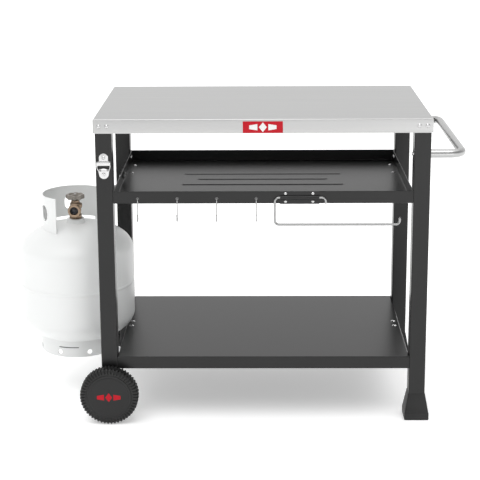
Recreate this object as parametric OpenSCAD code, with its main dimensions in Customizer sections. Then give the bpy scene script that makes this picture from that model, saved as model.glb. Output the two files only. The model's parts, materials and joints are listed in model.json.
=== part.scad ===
// Outdoor prep cart: stainless worktop on four square-tube legs, a walled tray, a lower shelf,
// two wheels, a push handle, wire hooks, a towel bar and a gas cylinder hung on one side.
// Millimetres. +Z is up, the front faces -Y, and the origin is on the floor under the middle
// of the whole assembly, hung cylinder included.

/* [Worktop] */
// Width of the worktop, side to side
top_w = 850; // [840:5:900]
// Depth of the worktop, front to back
top_d = 520; // [510:5:560]
// Height of the working surface above the floor
top_h = 800; // [790:5:850]
// Height of the folded aprons
apron_h = 36; // [34:1:42]
// Thickness of the stainless sheet
sheet_t = 1.2; // [1:0.1:1.3]

/* [Frame] */
// Outside width of the square leg tube
leg_w = 42; // [40:1:45]
// Wall of the leg tube
leg_t = 1.5; // [1.2:0.1:2.5]
// Top edge of the walled tray
tray_z = 614; // [610:1:620]
// Height of the tray's walls and of the shelf's aprons
wall_h = 32; // [32:1:34]
// Top face of the lower shelf
shelf_z = 172; // [165:1:172]

/* [Wheels] */
// Diameter over the tread lugs
wheel_d = 152; // [150:1:160]
// Width of the tyre
wheel_w = 34; // [34:1:36]
// Number of tread lugs, a multiple of 4 so that one lug stands on the floor
lugs = 52; // [40:4:60]

/* [Handle] */
// Diameter of the handle tube
handle_d = 22; // [20:1:25]
// Reach of the handle beyond the legs
handle_reach = 94; // [80:1:100]
// Height of the handle's centreline
handle_z = 706; // [690:1:715]

/* [Hooks and bar] */
// Distance from one S-hook to the next
hook_pitch = 100; // [90:1:105]
// Number of S-hooks
hook_count = 4; // [4:1:4]
// Wire of the S-hooks
hook_wire = 3; // [2.5:0.5:3]
// Wire of the towel bar
bar_wire = 6; // [5:0.5:6]
// Drop of the towel bar below its hinge
bar_drop = 70; // [60:1:90]

/* [Gas cylinder] */
// Radius of the shell
shell_r = 155; // [150:1:155]
// Length of the straight part of the shell
shell_len = 176; // [160:1:190]
// Height of the foot ring's lower edge above the floor
foot_z = 114; // [112:1:120]

/* [Hidden] */

e = 1;                                  // overshoot of cutting tools
inset = 4;                              // open hem: how far the legs stand inside the aprons
leg_out_x = top_w / 2 - inset;          // outer face of the legs
leg_out_y = top_d / 2 - inset;
leg_x = leg_out_x - leg_w / 2;          // leg centrelines
leg_y = leg_out_y - leg_w / 2;
leg_in_x = leg_out_x - leg_w;           // inner face of the legs
leg_top = top_h - 4;
leg_end_left = 42;                      // the wheel-side legs stop above the floor
leg_end_right = 8;                      // the others stand inside the boots
pan_x = leg_in_x;                       // half width of tray and shelf
pan_y = leg_out_y - 1;                  // half depth of tray and shelf

top_bend = 5;                           // outside radius of the worktop's long bends
pan_bend = 3;                           // outside radius of the tray's and the shelf's bends
hem_h = 24;                             // height of the open hem inside the aprons
apron_z = top_h - apron_h;              // lower edge of the aprons
screw_z = apron_z + 18;
pair_gap = 20;                          // spacing of the paired fasteners at each leg

tray_bottom = tray_z - wall_h;
tray_mid = tray_z - wall_h / 2;
shelf_bottom = shelf_z - wall_h;
shelf_mid = shelf_z - wall_h / 2;
floor_screw_x = 364;                    // floor screws stand this far from the middle
tray_screw_y = [94, 191];
shelf_screw_y = [-11, 26];

hook_x0 = -317;                         // first S-hook
hook_hole_r = 4;
hook_hole_z = tray_z - 19;
wall_in_y = -pan_y + sheet_t;           // inner face of the tray's front wall
hook_arc_r = 4;
hook_arc_y = -pan_y + 2;
hook_arc_z = hook_hole_z - 5.2;
hook_low_z = 538;                       // underside of the S-hooks
hook_low_r = 9;

bracket_x = [43, 142];                  // ends of the towel bar's bracket
bracket_screw_x = [57, 126];
bracket_screw_dz = 9.9;
bar_z = tray_mid;                       // hinge line of the towel bar
bar_y = -pan_y - bar_wire / 2 - 0.3;
bar_left = 30;                          // centrelines of the bar's arms
bar_right = 346;
bar_stub = 158.6;
bar_bend = 10;

wheel_r = wheel_d / 2;
wheel_y = leg_out_y + 2.5;              // inner end of the wheel's bush
hub_r = 58;                             // radius where the hub meets the tyre
axle_r = 5;
bush_len = 24;
thread_r = 4;

cyl_x = -511;                           // axis of the hung cylinder, from the cart's middle
head_h = shell_r / 2;                   // the shell's ends are two-to-one ellipses
shell_low = foot_z + 102;               // lower end of the straight part
shell_high = shell_low + shell_len;
collar_r = 90;
collar_t = 3;
collar_top = shell_high + 159;
collar_open = [-28, 75];                // sides of the collar's opening, from -Y towards +X
ring_r = 106;
hand_hole_top = 525.2;                  // upper edge of the collar's hand holes
hand_hole_h = 43;
hand_hole_w = 38;
neck_z = shell_high + head_h;
outlet_z = neck_z + 36;
wheel_knob_z = neck_z + 64;
weld_r = shell_r + 0.8;

// The cart's middle stands this far to the right of the origin
cart_x = (weld_r - cyl_x - leg_out_x - handle_reach) / 2;

/* Shared shapes */

module at_cart() translate([cart_x, 0, 0]) children();

// Both ends of the cart, front and rear
module both_y() for (m = [0, 1]) mirror([0, m, 0]) children();

// Both sides of the cart, right and left
module both_x() for (m = [0, 1]) mirror([m, 0, 0]) children();

// Rectangle with rounded corners, centred
module round_rect(w, d, r) {
  square([w - 2 * r, d], center = true);
  square([w, d - 2 * r], center = true);
  for (x = [-1, 1], y = [-1, 1])
    translate([x * (w / 2 - r), y * (d / 2 - r)]) circle(r = r, $fn = 32);
}

// Section of a folded pan: a half width, a height and bend radius r along the top
module pan_section(half, h, r) {
  translate([-half, -h]) square([2 * half, h - r]);
  translate([-half + r, -r]) square([2 * (half - r), r]);
  for (s = [-1, 1]) translate([s * (half - r), -r]) circle(r = r, $fn = 48);
}

// Block with its long top edges bent, top face at z = 0
module bent_block(hx, hy, h, r) {
  intersection() {
    translate([0, hy + e, 0]) rotate([90, 0, 0]) linear_extrude(2 * (hy + e)) pan_section(hx, h, r);
    rotate([0, 0, 90]) translate([0, hx + e, 0]) rotate([90, 0, 0])
      linear_extrude(2 * (hx + e)) pan_section(hy, h, r);
  }
}

// Sheet pan folded down from a flat top at z = 0
module folded_pan(hx, hy, h, r) {
  difference() {
    bent_block(hx, hy, h, r);
    translate([0, 0, -sheet_t]) bent_block(hx - sheet_t, hy - sheet_t, h + e, r - sheet_t);
  }
}

// Cylinder from point p to point q
module rod(p, q, r) {
  v = q - p;
  len = norm(v);
  translate(p) rotate([0, acos(v[2] / len), atan2(v[1], v[0])]) cylinder(h = len, r = r, $fn = 48);
}

// Bent wire or tube: bend radius r_bend, starting at angle a0 and turning by sweep, about Z
module elbow(c, r_bend, r, a0, sweep) {
  translate(c) rotate([0, 0, a0]) rotate_extrude(angle = sweep, $fn = 64)
    translate([r_bend, 0]) circle(r = r, $fn = 48);
}

// Pan-head screw with a socket, its head's underside at z = 0 and its shank along -Z
module button_screw(d, len, head_d, head_h) {
  dome_r = (head_d * head_d / 4 + head_h * head_h) / (2 * head_h);
  difference() {
    intersection() {
      cylinder(h = head_h, d = head_d, $fn = 48);
      translate([0, 0, head_h - dome_r]) sphere(r = dome_r, $fn = 64);
    }
    translate([0, 0, head_h - d * 0.3]) cylinder(h = d * 0.3 + e, d = d * 0.62, $fn = 6);
  }
  translate([0, 0, -len]) cylinder(h = len, d = d, $fn = 32);
}

// Hexagon nut on z = 0
module hex_nut(d, flats, h) {
  difference() {
    cylinder(h = h, d = flats / cos(30), $fn = 6);
    translate([0, 0, -e]) cylinder(h = h + 2 * e, d = d, $fn = 32);
  }
}

// Turns local +Z to point along +X, -X, -Y or +Y
module to_right() rotate([0, 90, 0]) children();
module to_left() rotate([0, -90, 0]) children();
module to_front() rotate([90, 0, 0]) children();

/* Worktop */

module worktop() color("lightgray") at_cart() {
  difference() {
    union() {
      translate([0, 0, top_h]) folded_pan(top_w / 2, top_d / 2, apron_h, top_bend);
      // open hem folded up inside the aprons
      difference() {
        translate([0, 0, apron_z + hem_h / 2])
          cube([top_w - 2 * sheet_t, top_d - 2 * sheet_t, hem_h], center = true);
        translate([0, 0, apron_z + hem_h / 2])
          cube([top_w - 2 * inset, top_d - 2 * inset, hem_h + 2 * e], center = true);
        difference() {
          translate([0, 0, apron_z + hem_h / 2 + sheet_t])
            cube([top_w - 2 * sheet_t, top_d - 2 * sheet_t, hem_h], center = true);
          cube([top_w - 2 * (inset - sheet_t), top_d - 2 * (inset - sheet_t), 2 * top_h], center = true);
        }
      }
    }
    both_x() both_y() for (s = [-0.5, 0.5])
      translate([leg_x + s * pair_gap, -leg_out_y + e, screw_z])
        to_front() cylinder(h = inset + 2 * e, d = 6.6, $fn = 32);
  }
}

// Hat channels under the sheet
module worktop_ribs() color("silver") at_cart() both_y() {
  rib_y = 110;
  rib_w = 36;
  rib_h = 20;
  flange = 14;
  under = top_h - sheet_t;
  translate([0, rib_y, under - rib_h / 2]) difference() {
    cube([2 * (leg_in_x - 10), rib_w, rib_h], center = true);
    translate([0, 0, sheet_t]) cube([2 * leg_in_x, rib_w - 2 * sheet_t, rib_h], center = true);
  }
  for (s = [-1, 1])
    translate([0, rib_y + s * (rib_w + flange) / 2, under - sheet_t / 2])
      cube([2 * (leg_in_x - 10), flange, sheet_t], center = true);
}

module apron_pairs() {
  at_cart() both_x() both_y() for (s = [-0.5, 0.5])
    translate([leg_x + s * pair_gap, 0, screw_z]) children();
}

module apron_screws() color("white") apron_pairs()
  translate([0, -top_d / 2, 0]) to_front() button_screw(6, 14, 10.5, 3);

module apron_nuts() color("gray") apron_pairs()
  translate([0, -leg_out_y + leg_t + 5, 0]) to_front() hex_nut(6, 10, 5);

// Blank plate with a raised border
module name_badge() color("crimson") at_cart() {
  badge_w = 100;
  badge_h = 29.5;
  rim = 1.6;
  translate([0, -top_d / 2, apron_z + 0.8 + badge_h / 2]) to_front() {
    linear_extrude(0.8) round_rect(badge_w, badge_h, 1.5);
    translate([0, 0, 0.8]) linear_extrude(0.5) difference() {
      round_rect(badge_w - 3, badge_h - 3, 1);
      square([badge_w - 3 - 2 * rim, badge_h - 3 - 2 * rim], center = true);
    }
  }
}

/* Legs */

// One leg at the origin of its own centreline. Its outward faces look to +X and -Y.
module leg(bottom) {
  difference() {
    translate([0, 0, bottom]) linear_extrude(leg_top - bottom) difference() {
      round_rect(leg_w, leg_w, 3);
      round_rect(leg_w - 2 * leg_t, leg_w - 2 * leg_t, 1.5);
    }
    // apron screws
    for (s = [-0.5, 0.5])
      translate([s * pair_gap, -leg_w / 2 + leg_t + e, screw_z]) to_front()
        cylinder(h = leg_t + 2 * e, d = 6.6, $fn = 32);
    // tray and shelf bolts, through the wall that faces the middle
    for (s = [-0.5, 0.5], z = [tray_mid, shelf_mid])
      translate([-leg_w / 2 - e, s * pair_gap, z]) to_right()
        cylinder(h = leg_t + 2 * e, d = 6.6, $fn = 32);
    children();
  }
}

module axle_hole()
  translate([0, leg_w / 2 + e, wheel_r]) to_front() cylinder(h = leg_w + 2 * e, r = axle_r + 0.2, $fn = 48);

module handle_hole()
  translate([-leg_w / 2 - e, 0, handle_z]) to_right() cylinder(h = leg_w + 2 * e, d = 8.6, $fn = 32);

module opener_holes()
  for (z = [opener_z - 21, opener_z + 21])
    translate([0, -leg_w / 2 + leg_t + e, z]) to_front() cylinder(h = leg_t + 2 * e, d = 4.6, $fn = 32);

module leg_front_left() color("dimgray") at_cart() translate([-leg_x, -leg_y, 0])
  mirror([1, 0, 0]) leg(leg_end_left) { axle_hole(); opener_holes(); }

module leg_front_right() color("dimgray") at_cart() translate([leg_x, -leg_y, 0])
  leg(leg_end_right) handle_hole();

module leg_rear_left() color("dimgray") at_cart() translate([-leg_x, leg_y, 0])
  mirror([0, 1, 0]) mirror([1, 0, 0]) leg(leg_end_left) axle_hole();

module leg_rear_right() color("dimgray") at_cart() translate([leg_x, leg_y, 0])
  mirror([0, 1, 0]) leg(leg_end_right) handle_hole();

// Plastic plug: a lip over the tube's end and a sleeve of the given depth inside it
module leg_plug(depth) {
  linear_extrude(2.5) round_rect(leg_w - 1, leg_w - 1, 2.5);
  translate([0, 0, -depth]) linear_extrude(depth) difference() {
    round_rect(leg_w - 2 * leg_t, leg_w - 2 * leg_t, 1.5);
    round_rect(leg_w - 2 * leg_t - 5, leg_w - 2 * leg_t - 5, 1);
  }
}

module leg_top_plugs() color("black") at_cart() both_x() both_y()
  translate([leg_x, -leg_y, leg_top]) leg_plug(7);

module leg_end_plugs() color("black") at_cart() both_y()
  translate([-leg_x, -leg_y, leg_end_left]) rotate([180, 0, 0]) leg_plug(14);

// Flared boot over the end of a leg
module boot() {
  foot_half = 32;
  top_half = leg_w / 2 + 1.3;
  foot_h = 18;
  boot_h = 70;
  outline = [
    [-foot_half, 0], [foot_half, 0], [foot_half, foot_h], [top_half, boot_h],
    [-top_half, boot_h], [-foot_half, foot_h]
  ];
  difference() {
    intersection() {
      translate([0, 50, 0]) rotate([90, 0, 0]) linear_extrude(100) polygon(outline);
      rotate([0, 0, 90]) translate([0, 50, 0]) rotate([90, 0, 0]) linear_extrude(100) polygon(outline);
    }
    translate([0, 0, leg_end_right + boot_h / 2])
      cube([leg_w + 0.2, leg_w + 0.2, boot_h], center = true);
  }
}

module boot_front_right() color("black") at_cart() translate([leg_x, -leg_y, 0]) boot();
module boot_rear_right() color("black") at_cart() translate([leg_x, leg_y, 0]) boot();

/* Tray and shelf */

module side_bolt_holes(z) both_x() both_y() for (s = [-0.5, 0.5])
  translate([pan_x + e, -leg_y + s * pair_gap, z]) to_left() cylinder(h = sheet_t + 2 * e, d = 6.6, $fn = 32);

module floor_holes(ys, z) both_x() for (y = ys)
  translate([floor_screw_x, y, z - 4]) cylinder(h = 8, d = 5.3, $fn = 32);

// Long stiffening beads pressed up from the tray's floor
module floor_beads() {
  bead_w = 11;
  bead_h = 1.6;
  for (row = [[-62, 430], [0, 350], [62, 430]])
    translate([0, row[0] + 16, tray_bottom + sheet_t - 0.2]) linear_extrude(bead_h + 0.2)
      round_rect(row[1], bead_w, bead_w / 2 - 0.01);
}

module utility_tray() color("dimgray") at_cart() {
  difference() {
    union() {
      translate([0, 0, tray_bottom]) mirror([0, 0, 1]) folded_pan(pan_x, pan_y, wall_h, pan_bend);
      floor_beads();
    }
    side_bolt_holes(tray_mid);
    floor_holes(tray_screw_y, tray_bottom);
    for (i = [0 : hook_count - 1])
      translate([hook_x0 + i * hook_pitch, wall_in_y + e, hook_hole_z]) to_front()
        cylinder(h = sheet_t + 2 * e, r = hook_hole_r, $fn = 48);
    bracket_points() translate([0, wall_in_y + e, 0]) to_front()
      cylinder(h = sheet_t + 2 * e, d = 5.3, $fn = 32);
    hook_screw_points() translate([-pan_x - e, 0, 0]) to_right()
      cylinder(h = sheet_t + 2 * e, d = 6.4, $fn = 32);
  }
}

module lower_shelf() color("dimgray") at_cart() {
  difference() {
    translate([0, 0, shelf_z]) folded_pan(pan_x, pan_y, wall_h, pan_bend);
    side_bolt_holes(shelf_mid);
    floor_holes(shelf_screw_y, shelf_z);
  }
}

// Bolts through a pan's side walls into the legs
module side_bolts(z) at_cart() both_x() both_y() for (s = [-0.5, 0.5])
  translate([pan_x - sheet_t, -leg_y + s * pair_gap, z]) to_left() button_screw(6, 14, 10.5, 3);

module side_nuts(z) at_cart() both_x() both_y() for (s = [-0.5, 0.5])
  translate([leg_in_x + leg_t, -leg_y + s * pair_gap, z]) to_right() hex_nut(6, 10, 5);

module tray_bolts() color("white") side_bolts(tray_mid);
module tray_nuts() color("gray") side_nuts(tray_mid);
module shelf_bolts() color("white") side_bolts(shelf_mid);
module shelf_nuts() color("gray") side_nuts(shelf_mid);

// Flat bars that stiffen a pan under its floor, between two screws
module side_bars(ys, top) {
  bar_t = 3;
  bar_end = 22;
  at_cart() both_x() difference() {
    translate([floor_screw_x - 9, ys[0] - bar_end, top - bar_t])
      cube([18, ys[1] - ys[0] + 2 * bar_end, bar_t]);
    for (y = ys) translate([floor_screw_x, y, top - bar_t - e])
      cylinder(h = bar_t + 2 * e, d = 5.3, $fn = 32);
  }
}

module floor_screws(ys, top) at_cart() both_x() for (y = ys)
  translate([floor_screw_x, y, top]) button_screw(5, 11, 12, 2.6);

module floor_nuts(ys, under) at_cart() both_x() for (y = ys)
  translate([floor_screw_x, y, under - 4]) hex_nut(5, 8, 4);

module tray_side_bars() color("gray") side_bars(tray_screw_y, tray_bottom);
module tray_floor_screws() color("white") floor_screws(tray_screw_y, tray_bottom + sheet_t);
module tray_floor_nuts() color("gray") floor_nuts(tray_screw_y, tray_bottom - 3);
module shelf_side_bars() color("gray") side_bars(shelf_screw_y, shelf_z - sheet_t);
module shelf_floor_screws() color("white") floor_screws(shelf_screw_y, shelf_z);
module shelf_floor_nuts() color("gray") floor_nuts(shelf_screw_y, shelf_z - sheet_t - 3);

/* Push handle */

// U-shaped tube: two arms out of the right legs and one grip between them
module handle_tube() color("silver") at_cart() {
  r = handle_d / 2;
  bend = 32;
  grip_x = leg_out_x + handle_reach - r;
  difference() {
    translate([0, 0, handle_z]) {
      both_y() {
        rod([leg_out_x, -leg_y, 0], [grip_x - bend, -leg_y, 0], r);
        elbow([grip_x - bend, -leg_y + bend, 0], bend, r, 270, 90);
      }
      rod([grip_x, -leg_y + bend, 0], [grip_x, leg_y - bend, 0], r);
    }
    both_y() translate([leg_out_x - e, -leg_y, handle_z]) to_right()
      cylinder(h = 40 + e, r = r - 1.5, $fn = 48);
  }
}

module handle_plugs() color("gray") at_cart() both_y()
  translate([leg_out_x, -leg_y, handle_z]) to_right() difference() {
    cylinder(h = 24, r = handle_d / 2 - 1.5, $fn = 48);
    translate([0, 0, -e]) cylinder(h = 24 + 2 * e, d = 8, $fn = 32);
  }

module handle_bolts() color("white") at_cart() both_y()
  translate([leg_in_x, -leg_y, handle_z]) to_left() button_screw(8, leg_w + 20, 14, 4);

/* Axle and wheels */

module axle_rod() color("silver") at_cart() translate([-leg_x, 0, wheel_r]) {
  shoulder = wheel_y + bush_len + 0.2;
  rod([0, -shoulder, 0], [0, shoulder, 0], axle_r);
  both_y() rod([0, -shoulder, 0], [0, -shoulder - 9, 0], thread_r);
}

module ring(r_out, r_in, h) difference() {
  cylinder(h = h, r = r_out, $fn = 64);
  translate([0, 0, -e]) cylinder(h = h + 2 * e, r = r_in, $fn = 64);
}

module axle_washers() color("silver") at_cart() both_y() translate([-leg_x, 0, wheel_r]) {
  translate([0, -leg_out_y, 0]) to_front() ring(11, axle_r + 0.2, 2);
  translate([0, -wheel_y - bush_len - 0.2, 0]) to_front() ring(9, thread_r, 1.5);
}

module axle_nuts() color("silver") at_cart() both_y()
  translate([-leg_x, -wheel_y - bush_len - 1.7, wheel_r]) to_front() hex_nut(2 * thread_r, 13, 6.5);

// Puts a wheel part, built with its outer side towards +Z, on the front or the rear end
module at_wheel(rear) at_cart() mirror([0, rear, 0])
  translate([-leg_x, -wheel_y, wheel_r]) to_front() children();

lug_rise = 2.4;                         // height of the tread lugs
tyre_z = 1.5;                           // inner side of the tyre, from the bush's inner end

// Outline of the tread: each lug has four corners
function lug_points() = [
  for (i = [0 : lugs - 1], c = [[-0.36, 0], [-0.24, 1], [0.24, 1], [0.36, 0]])
    let (a = (i + c[0]) * 360 / lugs, r = wheel_r - lug_rise - 0.4 + c[1] * (lug_rise + 0.4))
      [r * cos(a), r * sin(a)]
];

module tyre() {
  tread_r = wheel_r - lug_rise;
  rotate_extrude($fn = 96) polygon([
    [hub_r, tyre_z], [tread_r - 5, tyre_z], [tread_r, tyre_z + 6],
    [tread_r, tyre_z + wheel_w - 6], [tread_r - 5, tyre_z + wheel_w], [hub_r, tyre_z + wheel_w]
  ]);
  translate([0, 0, tyre_z + 6]) linear_extrude(wheel_w - 12) difference() {
    polygon(lug_points());
    circle(r = tread_r - 4, $fn = 96);
  }
}

module hub() {
  rim_in = hub_r - 8;
  difference() {
    translate([0, 0, tyre_z]) cylinder(h = wheel_w - 1, r = hub_r, $fn = 96);
    translate([0, 0, 16]) cylinder(h = wheel_w, r = rim_in, $fn = 96);
    translate([0, 0, tyre_z - e]) difference() {
      cylinder(h = 10 + e - tyre_z, r = rim_in, $fn = 96);
      cylinder(h = 10 + e, r = 15, $fn = 64);
    }
    translate([0, 0, -e]) cylinder(h = wheel_w + 2 * e, r = 9, $fn = 64);
  }
  translate([0, 0, 16]) ring(15, 9, bush_len - 18);
}

module bush() difference() {
  union() {
    cylinder(h = bush_len, r = 9, $fn = 64);
    cylinder(h = tyre_z, r = 13, $fn = 64);
  }
  translate([0, 0, -e]) cylinder(h = bush_len + 2 * e, r = axle_r + 0.05, $fn = 64);
}

// Slightly domed cap that snaps into the hub
module hub_cap() {
  seat = tyre_z + wheel_w - 1;
  translate([0, 0, seat]) rotate_extrude($fn = 96)
    polygon([[0, 0], [hub_r, 0], [hub_r, 2.2], [hub_r - 3, 3.4], [hub_r - 20, 4], [0, 4.4]]);
  translate([0, 0, seat - 6]) ring(hub_r - 8, hub_r - 11, 6);
}

module wheel_front_tyre() color("black") at_wheel(0) tyre();
module wheel_front_hub() color("black") at_wheel(0) hub();
module wheel_front_bush() color("gray") at_wheel(0) bush();
module wheel_front_cap() color("black") at_wheel(0) hub_cap();
module wheel_rear_tyre() color("black") at_wheel(1) tyre();
module wheel_rear_hub() color("black") at_wheel(1) hub();
module wheel_rear_bush() color("gray") at_wheel(1) bush();
module wheel_rear_cap() color("black") at_wheel(1) hub_cap();

/* Bottle opener on the front-left leg */

opener_z = 681;                         // middle between the opener's two screws
opener_t = 2;

module bottle_opener() color("silver") at_cart() translate([-leg_x, -leg_out_y, opener_z]) to_front() {
  half = 18.5;
  difference() {
    union() {
      // back plate
      linear_extrude(opener_t) {
        translate([0, 21]) circle(r = 11.5, $fn = 48);
        translate([-11.5, 2]) square([23, 19]);
        polygon([[-half, 11], [half, 11], [half, 2], [12.5, -21], [-12.5, -21], [-half, 2]]);
        translate([0, -21]) circle(r = 12.5, $fn = 48);
      }
      // hood over the mouth
      translate([-half, 2, opener_t]) cube([2 * half, 9, 9]);
      // cheeks beside the mouth
      for (s = [0, 1]) mirror([s, 0, 0])
        translate([half - 2, -8, opener_t]) cube([2, 10, 9]);
      // lower lip
      translate([-13, -14, opener_t]) cube([26, 6, 3]);
      translate([-13, -8.5, opener_t]) cube([26, 2.5, 8]);
    }
    for (y = [-21, 21]) translate([0, y, -e]) cylinder(h = opener_t + 2 * e, d = 4.6, $fn = 32);
  }
}

module opener_screws() color("white") at_cart()
  for (dz = [-21, 21]) translate([-leg_x, -leg_out_y - opener_t, opener_z + dz])
    to_front() button_screw(4.4, 12, 9, 2.4);

/* Towel bar */

module bracket_points() for (x = bracket_screw_x, s = [-1, 1])
  translate([x, 0, bar_z + s * bracket_screw_dz]) children();

// Pressed plate with a channel that holds the bar against the tray's wall
module bar_bracket() color("dimgray") at_cart() {
  plate_t = 2;
  half_h = wall_h / 2 + 0.5;
  channel_r = bar_wire / 2 + 0.3;
  len = bracket_x[1] - bracket_x[0];
  depth = -pan_y - bar_y;               // from the wall to the bar's axis
  difference() {
    translate([bracket_x[0], -pan_y, bar_z]) rotate([90, 0, 90]) linear_extrude(len) difference() {
      union() {
        translate([-plate_t, -half_h]) square([plate_t, 2 * half_h]);
        translate([-depth, -channel_r - plate_t]) square([depth, 2 * (channel_r + plate_t)]);
        translate([-depth, 0]) circle(r = channel_r + plate_t, $fn = 64);
      }
      translate([-depth, -channel_r]) square([depth + e, 2 * channel_r]);
      translate([-depth, 0]) circle(r = channel_r, $fn = 64);
      translate([0, -half_h]) square([bar_wire, 2 * half_h]);
    }
    bracket_points() translate([0, -pan_y + e, 0]) to_front() cylinder(h = plate_t + 2 * e, d = 5.3, $fn = 32);
  }
}

module bracket_screws() color("white") at_cart() bracket_points()
  translate([0, -pan_y - 2, 0]) to_front() button_screw(5, 9, 9, 2.8);

// Nuts with a small collar that keeps them clear of the tray's bend
module bracket_nuts() color("gray") at_cart() bracket_points()
  translate([0, wall_in_y, 0]) rotate([-90, 0, 0]) difference() {
    union() {
      cylinder(h = 1.5, r = 3.4, $fn = 48);
      translate([0, 0, 1.1]) cylinder(h = 4, d = 8 / cos(30), $fn = 6);
    }
    translate([0, 0, -e]) cylinder(h = 5.1 + 2 * e, d = 5, $fn = 32);
  }

// One wire: a hinge run, a short stub at its right end, a long arm at its left end and the bar
module towel_bar() color("silver") at_cart() translate([0, bar_y, bar_z]) rotate([90, 0, 0]) {
  r = bar_wire / 2;
  b = bar_bend;
  rod([bar_left + b, 0, 0], [bar_stub - b, 0, 0], r);
  elbow([bar_stub - b, -b, 0], b, r, 0, 90);
  rod([bar_stub, -b, 0], [bar_stub, -b - 5, 0], r);
  elbow([bar_left + b, -b, 0], b, r, 90, 90);
  rod([bar_left, -b, 0], [bar_left, -bar_drop + b, 0], r);
  elbow([bar_left + b, -bar_drop + b, 0], b, r, 180, 90);
  rod([bar_left + b, -bar_drop, 0], [bar_right - b, -bar_drop, 0], r);
  elbow([bar_right - b, -bar_drop + b, 0], b, r, 270, 90);
  rod([bar_right, -bar_drop + b, 0], [bar_right, -bar_drop + b + 8, 0], r);
}

/* S-hooks */

// Built in a plane whose x is towards the front and whose y is up
module s_hook(i) color("silver") at_cart()
  translate([hook_x0 + i * hook_pitch, hook_arc_y, hook_arc_z]) rotate([90, 0, -90]) {
    r = hook_wire / 2;
    low_y = hook_low_z + r + hook_low_r - hook_arc_z;   // centre of the lower bend
    low_x = hook_arc_r + hook_low_r;
    elbow([0, 0, 0], hook_arc_r, r, 0, 180);
    rod([-hook_arc_r, 0, 0], [-hook_arc_r, -4, 0], r);
    rod([hook_arc_r, 0, 0], [hook_arc_r, low_y, 0], r);
    elbow([low_x, low_y, 0], hook_low_r, r, 180, 180);
    rod([low_x + hook_low_r, low_y, 0], [low_x + hook_low_r, low_y + 9, 0], r);
    translate([low_x + hook_low_r, low_y + 9, 0]) sphere(r = r, $fn = 32);
  }

module hook_1() s_hook(0);
module hook_2() s_hook(1);
module hook_3() s_hook(2);
module hook_4() s_hook(3);

/* Hook that carries the gas cylinder */

hook_strap_t = 5;
hook_strap_w = 26;
hook_plate_w = 44;

module hook_screw_points() for (s = [-1, 1]) translate([0, s * 14, tray_mid]) children();

function unit(v) = v / norm(v);
function left_of(v) = [-v[1], v[0]];

// Offset of corner i of path p that keeps both neighbouring edges at distance 1
function mitre(p, i) =
  let (last = len(p) - 1)
  let (before = i == 0 ? unit(p[1] - p[0]) : unit(p[i] - p[i - 1]))
  let (after = i == last ? before : unit(p[i + 1] - p[i]))
  let (n = unit(left_of(before) + left_of(after)))
  n / (n * left_of(before));

// Outline of a strip of thickness t along path p
function strip(p, t) = concat(
  [for (i = [0 : len(p) - 1]) p[i] + mitre(p, i) * t / 2],
  [for (i = [len(p) - 1 : -1 : 0]) p[i] - mitre(p, i) * t / 2]
);

// Bent flat bar. Its tongue leaves along the way the cylinder is lifted off.
module cylinder_hook() color("dimgray") at_cart() {
  face_x = -leg_in_x - hook_strap_t / 2;
  back_x = cyl_x + collar_r + 5;        // strap behind the collar's wall
  bend_z = tray_bottom - 22;
  low_z = hand_hole_top - 8.4;
  tongue = 20;
  path = [
    [face_x, tray_bottom + 6], [face_x, tray_bottom - 10], [back_x, bend_z], [back_x, low_z + 2],
    [back_x - 4.6, low_z], [back_x - 4.6 - tongue, low_z + tongue]
  ];
  difference() {
    union() {
      translate([-leg_in_x - hook_strap_t, -hook_plate_w / 2, tray_bottom + 2])
        cube([hook_strap_t, hook_plate_w, wall_h - 4]);
      translate([0, hook_strap_w / 2, 0]) to_front() linear_extrude(hook_strap_w)
        polygon(strip(path, hook_strap_t));
    }
    hook_screw_points() translate([-leg_in_x - hook_strap_t - e, 0, 0]) to_right()
      cylinder(h = hook_strap_t + 2 * e, d = 6.4, $fn = 32);
  }
}

module cylinder_hook_screws() color("white") at_cart() hook_screw_points()
  translate([-leg_in_x - hook_strap_t, 0, 0]) to_left() button_screw(6, 13, 10.5, 3);

module cylinder_hook_nuts() color("gray") at_cart() hook_screw_points()
  translate([-pan_x + sheet_t, 0, 0]) to_right() hex_nut(6, 10, 5);

/* Gas cylinder */

module at_cylinder() at_cart() translate([cyl_x, 0, 0]) children();

// Half outline of a closed shell of radius r: ellipse quarter, straight side, ellipse quarter
function shell_outline(r, h, steps) = concat(
  [for (i = [0 : steps]) let (a = 90 * i / steps) [r * sin(a), shell_low - h * cos(a)]],
  [for (i = [0 : steps]) let (a = 90 * i / steps) [r * cos(a), shell_high + h * sin(a)]]
);

shell_t = 2.8;

module cylinder_shell() color("white") at_cylinder() {
  difference() {
    union() {
      rotate_extrude($fn = 96) polygon(shell_outline(shell_r, head_h, 20));
      // weld between the two halves
      translate([0, 0, (shell_low + shell_high) / 2 - 4]) ring(weld_r, shell_r - 1, 8);
    }
    rotate_extrude($fn = 96) polygon(shell_outline(shell_r - shell_t, head_h - shell_t, 20));
    translate([0, 0, shell_high]) cylinder(h = 2 * head_h, r = 13, $fn = 48);
  }
}

module cylinder_neck() color("white") at_cylinder() difference() {
  translate([0, 0, neck_z - 6]) cylinder(h = 16, r1 = 27, r2 = 21, $fn = 64);
  translate([0, 0, neck_z - 8]) cylinder(h = 20, r = 13, $fn = 48);
}

// Hand hole through the collar, at angle a from +X
module hand_hole(a, corner) rotate([0, 0, a])
  translate([collar_r - 15, 0, hand_hole_top - hand_hole_h / 2])
    to_right() linear_extrude(30) round_rect(hand_hole_h, hand_hole_w, corner);

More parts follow.
